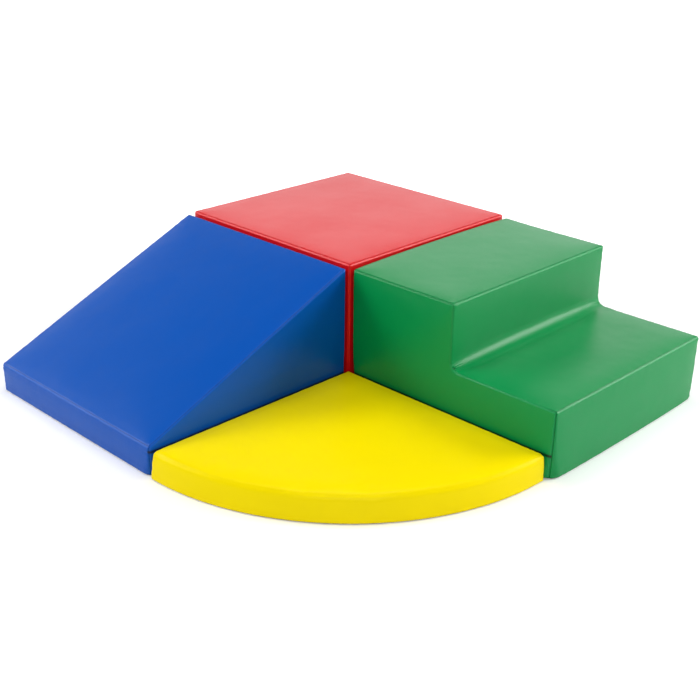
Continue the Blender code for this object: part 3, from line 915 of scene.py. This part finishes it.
def steps_blend(give, points, side_of):
    """The riser swells less than the treads, and the one passes into the other round the fold."""
    past_riser = points[:, 1] - steps_low[1] - riser_place
    above_tread = points[:, 2] - step_height
    tread = (side_of == 5) & (above_tread < step_height / 2)
    riser = (side_of == 2) & (past_riser > -riser_place / 2)
    share = 0.5 + 0.5 * np.tanh((past_riser + above_tread) / fold_radius)
    return np.where(tread | riser, tread_give + (riser_give - tread_give) * share, give)


def steps_drawn(points):
    """Round the fold the vinyl is drawn tight over the inner corner, at one even height."""
    back = points[:, 1] - steps_low[1] - riser_place
    return np.exp(-((np.hypot(back, points[:, 2] - step_height) / drawn_reach) ** 4))


steps_view = [
    (riser_place, step_height),
    (riser_place, steps_height),
    (steps_run, steps_height),
    (steps_run, 0),
    (0, 0),
    (0, step_height),
    (riser_place, step_height),
]
steps_sides = [[(x, y, z) for y, z in steps_view] for x in (0, block_side)]
steps_seams = steps_sides + [[(x, y, z) for x in (0, block_side)] for y, z in steps_view[1:-1]]
steps_sunk = list(steps_sides)
for front, back, height in ((0, riser_place, step_height), (riser_place, steps_run, steps_height)):
    sides = (seam_inset, block_side - seam_inset)
    steps_sunk += [[(x, y, height) for x in sides] for y in (front + seam_inset, back - seam_inset)]
    steps_sunk += [[(x, y, height) for y in (front + seam_inset, back)] for x in sides]
steps_sunk += [[(x, y, 0) for x in (0, block_side)] for y in (0, steps_run)]
steps_form = Form(
    stops=[[0, block_side], [0, riser_place, steps_run], [0, step_height, steps_height]],
    filled=steps_filled,
    place=steps_place,
    rolls=steps_rolls,
    bow=steps_bow,
    seams=steps_seams,
    sunk=steps_sunk,
    gives=(wall_give, wall_give, riser_give, mating_rise, 0, tread_give),
    zip_side=1,
    zip_middle=(steps_run / 2, zip_height),
    drawn=steps_drawn,
    blend=steps_blend,
    mat_side=0,
)
steps_base = vinyl_cover(
    "steps_cover",
    steps_form,
    "steps",
    [
        "steps_top_panel",
        "steps_riser_and_tread_panel",
        "steps_front_panel",
        "steps_mat_side_panel",
        "steps_outer_side_panel",
        "steps_back_panel",
        "steps_lower_foam_slab",
        "steps_upper_foam_block",
    ],
    "green_vinyl",
    # Its wall beside the mat gets the painted gap shade.
    vinyl("green_vinyl", (0.0, 0.263, 0.065), (0.0, 0.080, 0.018), 1.32, ((1, 0, 0), 0.008)),
    seed=37,
)
base_sheet("steps_base", *steps_base, "steps", "steps_bottom_panel")

# Mat cover
# A thin quarter round of softer foam in yellow vinyl, with a band sewn round it.
mat_radius = 0.534
mat_thickness = 0.059
mat_apex = np.array((-0.000625, 0.000375, 0))
mat_top_give = 0.0040
mat_wall_give = 0.0003
mat_top_roll = 0.012
mat_wall_reach = 0.03
mat_wall_lean = 0.003
mat_lean_all = 0.001
mat_lean_left = 0.007
mat_zip_height = 0.017
mat_zip_length = 0.404


def mat_place(points):
    """Bends a square lattice into a quarter disc about its apex."""
    u, v = points[:, 0], points[:, 1]
    reach = np.maximum(u, v)
    turn = math.pi / 4 * np.minimum(u, v) / np.maximum(reach, tiny)
    angle = np.where(u >= v, turn, math.pi / 2 - turn)
    return np.stack([-reach * np.cos(angle), -reach * np.sin(angle), points[:, 2]], 1) + mat_apex


def mat_rolls(points):
    """The curved band is one side all round, so it rolls by the reach from the apex."""
    reach = points[:, :2].max(1)
    wide = edge_roll + (mat_top_roll - edge_roll) * np.clip(points[:, 2] / mat_thickness, 0, 1)
    from_wall = np.clip(points[:, :2].min(1) / mat_wall_reach, 0, 1)
    soft = edge_roll + (mat_top_roll - edge_roll) * from_wall * from_wall * (3 - 2 * from_wall)
    up = np.where(points[:, 2] < mat_thickness / 2, edge_roll, soft)
    wall = np.full(len(points), edge_roll * 4 / math.pi)
    radii = np.stack([wall, wall, up, wide], 1)
    spans = np.column_stack([points, reach])
    excess = box_excess(spans, np.array((0, 0, 0, -1)), np.array((2, 2, mat_thickness, mat_radius)), radii)
    move = roll_move(excess, radii)
    inward = points[:, :2] / np.maximum(reach, tiny)[:, None] * move[:, 3:]
    return np.column_stack([move[:, :2] + inward, move[:, 2]])


def mat_bow(points):
    """The curved band leans out a little towards its foot, and the straight sides lean back at the top."""
    outward = mat_place(points)[:, :2] - mat_apex[:2]
    outward /= lengths(outward)[:, None]
    lean = mat_lean_all + mat_lean_left * np.clip(-outward[:, 0], 0, 1)
    lean *= np.clip(1 - points[:, 2] / mat_thickness, 0, 1)
    lean *= np.exp((points[:, :2].max(1) - mat_radius) / bow_depth)
    upper = np.clip((points[:, 2] - 0.6 * mat_thickness) / (0.35 * mat_thickness), 0, 1)
    back = -mat_wall_lean * upper[:, None] * np.exp(-points[:, :2] / mat_wall_reach)
    return np.column_stack([outward * lean[:, None] + back, np.zeros(len(points))])


mat_corners = [(0, 0), (mat_radius, 0), (mat_radius, mat_radius), (0, mat_radius), (0, 0)]
mat_seams = [[(*corner, 0) for corner in mat_corners]]
mat_seams += [[(*mat_corners[i], mat_thickness) for i in pair] for pair in ((0, 1), (0, 3))]
mat_seams += [[(*mat_corners[i], z) for z in (0, mat_thickness)] for i in (0, 1, 3)]
mat_form = Form(
    stops=[[0, mat_radius], [0, mat_radius], [0, mat_thickness]],
    place=mat_place,
    rolls=mat_rolls,
    bow=mat_bow,
    seams=mat_seams,
    sunk=mat_seams,
    gives=(mat_wall_give, wall_give, mat_wall_give, wall_give, 0, mat_top_give),
    zip_side=0,
    zip_middle=(mat_radius / 2, mat_zip_height),
    zip_length=mat_zip_length,
    curved=True,
    groove=0.0001,
)
mat_base = vinyl_cover(
    "mat_cover",
    mat_form,
    "mat",
    ["mat_top_panel", "mat_curved_band", "mat_band_to_ramp", "mat_band_to_steps", "mat_foam_core"],
    "yellow_vinyl",
    vinyl("yellow_vinyl", (0.945, 0.752, 0.0), (0.83, 0.60, 0.0), 1.15),
    seed=51,
)
base_sheet("mat_base", *mat_base, "mat", "mat_bottom_panel")

# Hook and loop strips
# Strips of nylon tape with stiff hooks or soft loops on one face. They are sewn on round their
# edges, and hold the blocks together where two faces meet.
hook_face = cloth_material(
    "hook_tape", (0.030, 0.030, 0.032), (0.085, 0.085, 0.088), 0.55, 500, 620, 0.35, 0.38, 0.0003
)
loop_face = cloth_material(
    "loop_tape", (0.045, 0.045, 0.048), (0.075, 0.075, 0.080), 0.95, 380, 1100, 1.0, 0.62, 0.0003
)
strips = {
    "corner_block": {"corner_hook_strip_to_ramp": 0, "corner_hook_strip_to_steps": 1},
    "ramp": {"ramp_hook_strip_to_mat": 1, "ramp_loop_strip_to_corner": 0},
    "steps": {"steps_hook_strip_to_mat": 0, "steps_loop_strip_to_corner": 1},
    "mat": {"mat_loop_strip_to_ramp": 1, "mat_loop_strip_to_steps": 0},
}
thread_radius = 0.00022
stitch_inset = 0.0022
stitch_sink = 0.00012
ply_scale = 900
ply_shade = 0.55


def thread_material(name, colour):
    """Twisted polyester thread, slightly shiny, with its plies as fine slanting lines."""
    material, tree, shader, place = new_material(name)
    waved = {"Vector": place, "Scale": ply_scale}
    plies = added(tree, "ShaderNodeTexWave", waved, bands_direction="DIAGONAL").outputs["Fac"]
    skin = mixed(tree, plies, tinted(colour, ply_shade), tinted(colour))
    bump = bumped(tree, plies, 0.6, 0.00008)
    fed(tree, shader, {"Base Color": skin, "Roughness": 0.5, "Normal": bump})
    return material


def tree_with(name, sizes):
    """An empty geometry node tree, and its inputs: a starting geometry, sizes and a material."""
    tree = bpy.data.node_groups.new(name, "GeometryNodeTree")
    tree.interface.new_socket("Geometry", in_out="OUTPUT", socket_type="NodeSocketGeometry")
    kinds = {"Geometry": "Geometry", **dict.fromkeys(sizes, "Float"), "Material": "Material"}
    for socket, kind in kinds.items():
        tree.interface.new_socket(socket, in_out="INPUT", socket_type="NodeSocket" + kind)
    return tree, added(tree, "NodeGroupInput").outputs


def triple(tree, x, y, z):
    """A vector of numbers or sockets."""
    return added(tree, "ShaderNodeCombineXYZ", {0: x, 1: y, 2: z}).outputs[0]


def finished(tree, given, geometry):
    """Ends a tree: its instances made real and in their material."""
    real = added(tree, "GeometryNodeRealizeInstances", {"Geometry": geometry}).outputs["Geometry"]
    dressed = {"Geometry": real, "Material": given["Material"]}
    end = added(tree, "GeometryNodeSetMaterial", dressed).outputs["Geometry"]
    added(tree, "NodeGroupOutput", {"Geometry": end})
    return tree


def stitch_tree():
    """A row of stitches along every edge line of the starting mesh."""
    tree, given = tree_with("Stitch Row", ("Pitch", "Stitch Length", "Thread Radius"))
    line = added(tree, "GeometryNodeMeshToCurve", {"Mesh": given["Geometry"]}).outputs["Curve"]
    paced = {"Curve": line, "Length": given["Pitch"]}
    marks = added(tree, "GeometryNodeCurveToPoints", paced, mode="LENGTH").outputs
    stitch = added(tree, "GeometryNodeMeshUVSphere", {"Segments": 6, "Rings": 4, "Radius": 1})
    half = product(tree, given["Stitch Length"], 0.5)
    laid = {
        "Points": marks["Points"],
        "Rotation": marks["Rotation"],
        "Instance": stitch.outputs["Mesh"],
        "Scale": triple(tree, given["Thread Radius"], given["Thread Radius"], half),
    }
    placed = added(tree, "GeometryNodeInstanceOnPoints", laid)
    return finished(tree, given, placed.outputs["Instances"])


def grown(tree, settings, lines):
    """The plain mesh that a tree makes from lines of points."""
    points, edges = [], []
    for line in lines:
        edges += [(len(points) + i, len(points) + i + 1) for i in range(len(line) - 1)]
        points += line
    start = bpy.data.meshes.new("lines")
    start.from_pydata(points, edges, [])
    holder = linked("holder", start)
    grow = holder.modifiers.new("grow", "NODES")
    grow.node_group = tree
    for socket in tree.interface.items_tree:
        if socket.in_out == "INPUT" and socket.name in settings:
            grow[socket.identifier] = settings[socket.name]
    graph = bpy.context.evaluated_depsgraph_get()
    made = bpy.data.meshes.new_from_object(holder.evaluated_get(graph), depsgraph=graph)
    bpy.data.objects.remove(holder)
    made.shade_smooth()
    return made


stitches = stitch_tree()
stitch_sizes = {
    "Pitch": 0.0036,
    "Stitch Length": 0.0026,
    "Thread Radius": thread_radius,
    "Material": thread_material("black_thread", (0.05, 0.05, 0.052)),
}


def strip_rim(node, axis):
    """The line that a strip's stitches follow, just inside its edge on its face. Hook strips face down
    their axis, and loop strips up it."""
    low, high = (np.array(corner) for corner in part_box(node))
    sunk = thread_radius - stitch_sink
    face = low[axis] + sunk if "_hook_" in node else high[axis] - sunk
    along = 1 - axis
    line = []
    for side, end in ((low, low), (high, low), (high, high), (low, high), (low, low)):
        point = np.zeros(3)
        point[axis] = face
        point[along] = side[along] + stitch_inset * (1 if side is low else -1)
        point[2] = end[2] + stitch_inset * (1 if end is low else -1)
        line.append(tuple(point))
    return line


for body, axes in strips.items():
    for node in axes:
        face = hook_face if "_hook_" in node else loop_face
        bpy.data.objects[node].material_slots[0].material = face
    sewn = grown(stitches, stitch_sizes, [strip_rim(node, axis) for node, axis in axes.items()])
    declared(linked(body + "_strip_stitches", sewn), body, "zip_cloth")

# Zips
# Each cover closes with a black coil zip, low on a side out of sight and sewn into a slot in the
# vinyl. The slider and its pull tab are nickel-plated.
tape_top = -0.00025
end_margin = 0.003
zip_stitch_place = 0.0055
facing_back = ((-1, 0, 0), (0, 1, 0))
facing_right = ((0, 1, 0), (1, 0, 0))
zip_places = {
    "corner": ("corner_block", corner_low + (block_side / 2, block_side, zip_height), facing_back),
    "ramp": ("ramp", ramp_low + (block_side / 2, ramp_width, zip_height), facing_back),
    "steps": ("steps", steps_low + (block_side, steps_run / 2, zip_height), facing_right),
    "mat": ("mat", mat_apex + (0, -mat_radius / 2, mat_zip_height), facing_right),
}


def teeth_tree():
    """Two rows of coil teeth that face each other along a zip, with a stop across each end."""
    sizes = ("Length", "Pitch", "Tooth Share", "Inner", "Outer", "Low", "High", "Stop Length")
    tree, given = tree_with("Zip Teeth", sizes)
    length, pitch, share, inner, outer, low, high, stop_length = (given[size] for size in sizes)
    room = sum_of(tree, "SUBTRACT", length, product(tree, stop_length, 2))
    count = sum_of(tree, "FLOOR", sum_of(tree, "DIVIDE", room, pitch))
    spare = sum_of(tree, "SUBTRACT", room, product(tree, count, pitch))
    first = sum_of(tree, "ADD", product(tree, room, -0.5), product(tree, spare, 0.5))
    middle = product(tree, sum_of(tree, "ADD", inner, outer), 0.5)
    middle_up = product(tree, sum_of(tree, "ADD", low, high), 0.5)
    thick = sum_of(tree, "SUBTRACT", high, low)
    width = sum_of(tree, "SUBTRACT", outer, inner)
    tooth = added(tree, "GeometryNodeMeshUVSphere", {"Segments": 8, "Rings": 5, "Radius": 0.5})
    tooth_size = triple(tree, product(tree, pitch, share), thick, width)
    joined = added(tree, "GeometryNodeJoinGeometry")
    for side in (-1, 1):
        offset = sum_of(tree, "ADD", first, product(tree, pitch, 0.5 + 0.25 * side))
        ranked = {
            "Count": count,
            "Start Location": triple(tree, offset, product(tree, middle, side), middle_up),
            "Offset": triple(tree, pitch, 0, 0),
        }
        laid = {
            "Points": added(tree, "GeometryNodeMeshLine", ranked).outputs["Mesh"],
            "Instance": tooth.outputs["Mesh"],
            "Rotation": (math.pi / 2, 0, 0),
            "Scale": tooth_size,
        }
        fed(tree, joined, {"Geometry": added(tree, "GeometryNodeInstanceOnPoints", laid).outputs["Instances"]})
    for side in (-1, 1):
        size = triple(tree, stop_length, product(tree, outer, 2), thick)
        end = product(tree, sum_of(tree, "SUBTRACT", length, stop_length), 0.5 * side)
        moved = {
            "Geometry": added(tree, "GeometryNodeMeshCube", {"Size": size}).outputs["Mesh"],
            "Translation": triple(tree, end, 0, middle_up),
        }
        fed(tree, joined, {"Geometry": added(tree, "GeometryNodeTransform", moved).outputs["Geometry"]})
    return finished(tree, given, joined.outputs["Geometry"])


def coated(name, colour, roughness, metallic, scratch_scale, uneven):
    """A hard finish with fine scratches and patches of a slightly different gloss."""
    material, tree, shader, place = new_material(name)
    rubbed = noisy(tree, place, scratch_scale, 4)["Fac"]
    skin = mixed(tree, rubbed, tinted(colour, 1 - uneven), tinted(colour))
    gloss = ranged(tree, rubbed, (0, 1), (roughness * 0.8, roughness * 1.3), "LINEAR")
    bump = bumped(tree, rubbed, 0.3, 0.00003)
    fed(tree, shader, {"Base Color": skin, "Roughness": gloss, "Metallic": metallic, "Normal": bump})
    return material


teeth = teeth_tree()
tape_cloth = cloth_material(
    "zip_cloth", (0.020, 0.020, 0.022), (0.026, 0.026, 0.028), 0.85, 620, 900, 0.2, 0.3, 0.0001
)
teeth_sizes = {
    "Pitch": 0.0016,
    "Tooth Share": 0.82,
    "Inner": 0.0005,
    "Outer": 0.0027,
    "Low": 0.00005,
    "High": 0.00145,
    "Stop Length": 0.004,
    "Material": coated("zip_nylon", (0.018, 0.018, 0.020), 0.36, 0.0, 2600, 0.35),
}
nickel = coated("zip_metal", (0.66, 0.65, 0.62), 0.24, 1.0, 1500, 0.18)
for prefix, (body, middle, (along, outward)) in zip_places.items():
    length = mat_zip_length if prefix == "mat" else zip_length
    upright = Vector(outward).cross(Vector(along))
    into_place = Matrix.Translation(middle) @ Matrix((along, upright, outward)).transposed().to_4x4()
    teeth_sizes["Length"] = length - 2 * end_margin
    coil = grown(teeth, teeth_sizes, [[(0, 0, 0), (0, 0, 0.001)]])
    coil.transform(into_place)
    declared(linked(prefix + "_zip_teeth", coil), body, "zip_nylon", prefix + "_zip_chain")
    ends = length / 2 - 2 * end_margin
    rows = [[(end, side * zip_stitch_place, tape_top) for end in (-ends, ends)] for side in (-1, 1)]
    sewn = grown(stitches, stitch_sizes, rows)
    sewn.transform(into_place)
    declared(linked(prefix + "_zip_stitches", sewn), body, "zip_cloth")
    bpy.data.objects[prefix + "_zip_tape"].material_slots[0].material = tape_cloth
    for part in ("_zip_slider", "_zip_pull"):
        if prefix + part in bpy.data.objects:
            bpy.data.objects[prefix + part].material_slots[0].material = nickel

# Floor and backdrop
# A plain white sweep. The camera and the gloss see white beyond it.
white = (1, 1, 1, 1)
floor_half = 30
floor_drop = 0.0002
floor_material, tree, shader, place = new_material("floor")
reach = added(tree, "ShaderNodeVectorMath", {0: place}, operation="LENGTH").outputs["Value"]
seen = added(tree, "ShaderNodeLightPath").outputs["Is Camera Ray"]
glow = ranged(tree, reach, limits=(0.7, 2.2), results=(0.10, 1.0))
floor_look = {
    "Base Color": tinted((0.96, 0.96, 0.96)),
    "Roughness": 0.9,
    "Specular IOR Level": 0.1,
    "Emission Color": white,
    "Emission Strength": product(tree, seen, glow),
}
fed(tree, shader, floor_look)
floor_corners = [(x, y, -floor_drop) for x in (-floor_half, floor_half) for y in (-floor_half, floor_half)]
floor = mesh_object("floor", np.array(floor_corners), np.array([(0, 2, 3, 1)]))
floor.data.materials.append(floor_material)

# Light
# A white sweep behind the floor that the gloss mirrors up to a third of the way overhead, and
# large soft lamps: one above, one behind each side, and a weak one beside the camera.
room_glow = 0.06
lamp_target = Vector((0, 0, 0.1))
world = bpy.data.worlds.new("room")
bpy.context.scene.world = world
world.use_nodes = True
room = world.node_tree
ray = added(room, "ShaderNodeLightPath").outputs
way = added(room, "ShaderNodeTexCoord").outputs["Generated"]
way_up = added(room, "ShaderNodeSeparateXYZ", {0: way}).outputs["Z"]
sweep = ranged(room, way_up, limits=(0.42, 0.57), results=(1.80, 0.02))
horizon = ranged(room, way_up, limits=(0.10, 0.42), results=(0.55, 1.0))
banded = product(room, sweep, horizon)
mirrored = sum_of(room, "MULTIPLY_ADD", ray["Is Glossy Ray"], banded, room_glow)
strength = sum_of(room, "MAXIMUM", ray["Is Camera Ray"], mirrored)
fed(room, room.nodes["Background"], {"Color": white, "Strength": strength})


def soft_lamp(name, place, size, power):
    """A square soft lamp that points at the climber."""
    lamp = bpy.data.lights.new(name, "AREA")
    lamp.shape = "SQUARE"
    lamp.size = size
    lamp.energy = power
    holder = linked(name, lamp)
    holder.location = place
    holder.rotation_euler = (lamp_target - Vector(place)).to_track_quat("-Z", "Y").to_euler()


soft_lamp("lamp_over", (0, 0, 3.2), 2.2, 47)
soft_lamp("lamp_left", (-1.9, 2.1, 1.6), 1.6, 56)
soft_lamp("lamp_right", (2.2, -2.0, 1.5), 1.6, 76)
soft_lamp("lamp_camera", (-1.9, -1.9, 1.4), 1.4, 27)

# Camera
# The viewing angle of the photograph, found from the corners of the blocks.
view_azimuth, view_elevation = math.radians(-45.703), math.radians(23.884)
view_distance = 2.4673
view_roll = math.radians(0.831)
view_target = Vector((-0.0388, -0.0413, 0.1321))
level = math.cos(view_elevation)
backwards = Vector((math.sin(view_azimuth) * level, -math.cos(view_azimuth) * level, math.sin(view_elevation)))
camera_data = bpy.data.cameras.new("camera")
camera_data.lens = 59.08
camera_data.sensor_width = 36
camera = linked("camera", camera_data)
camera.location = view_target + backwards * view_distance
look = (-backwards).to_track_quat("-Z", "Y").to_matrix().to_4x4()
camera.rotation_euler = (look @ Matrix.Rotation(view_roll, 4, "Z")).to_euler()
bpy.context.scene.camera = camera
bpy.context.scene.view_settings.view_transform = "Standard"
